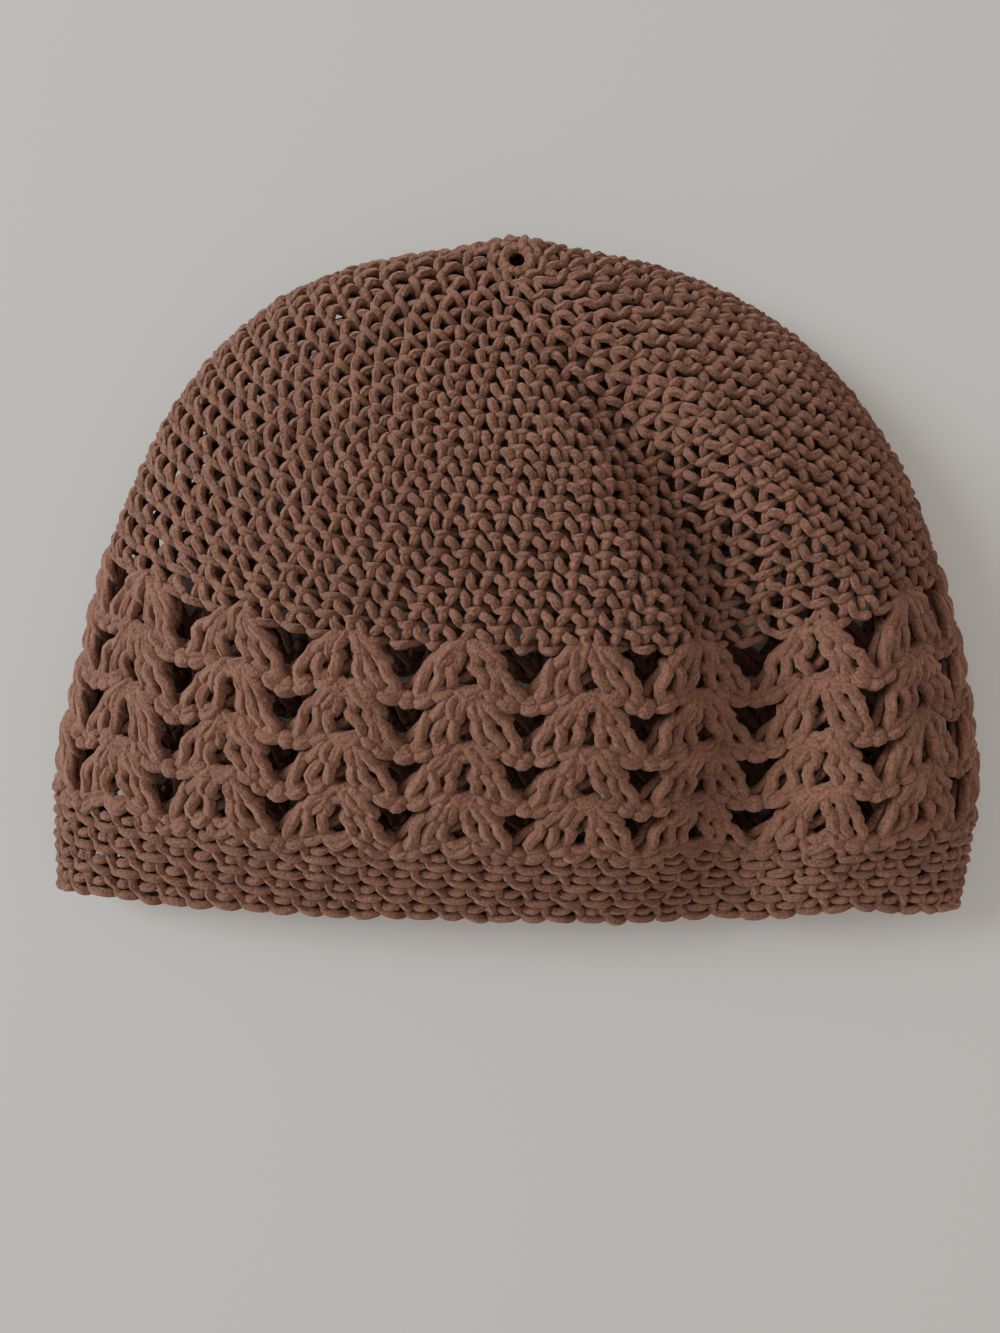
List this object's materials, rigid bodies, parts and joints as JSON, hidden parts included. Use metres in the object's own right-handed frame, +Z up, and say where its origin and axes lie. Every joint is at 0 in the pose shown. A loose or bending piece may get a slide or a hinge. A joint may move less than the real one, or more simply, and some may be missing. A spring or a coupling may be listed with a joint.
{
  "type": "crocheted cotton hat",
  "caption": "Brimless crocheted cotton hat lying flattened on its side: close-worked round crown, open shell-lace band and a close rim band round the open mouth.",
  "frame": {"origin": "on the table under the middle of the hat as it lies", "axes": "+X to the right-hand fold, +Y to the closed crown with the open mouth towards -Y, +Z up from the table"},
  "size_m": [0.1834, 0.1346, 0.0395],
  "materials": {
    "cotton_rounds": "matte crocheted cotton yarn, close rounds",
    "cotton_lace": "matte crocheted cotton yarn, shell lace"
  },
  "bodies": {
    "root": {"foundation_ring": "cotton_rounds", "crown": "cotton_rounds", "lace_band": "cotton_lace", "rim_band": "cotton_rounds"}
  },
  "joints": []
}
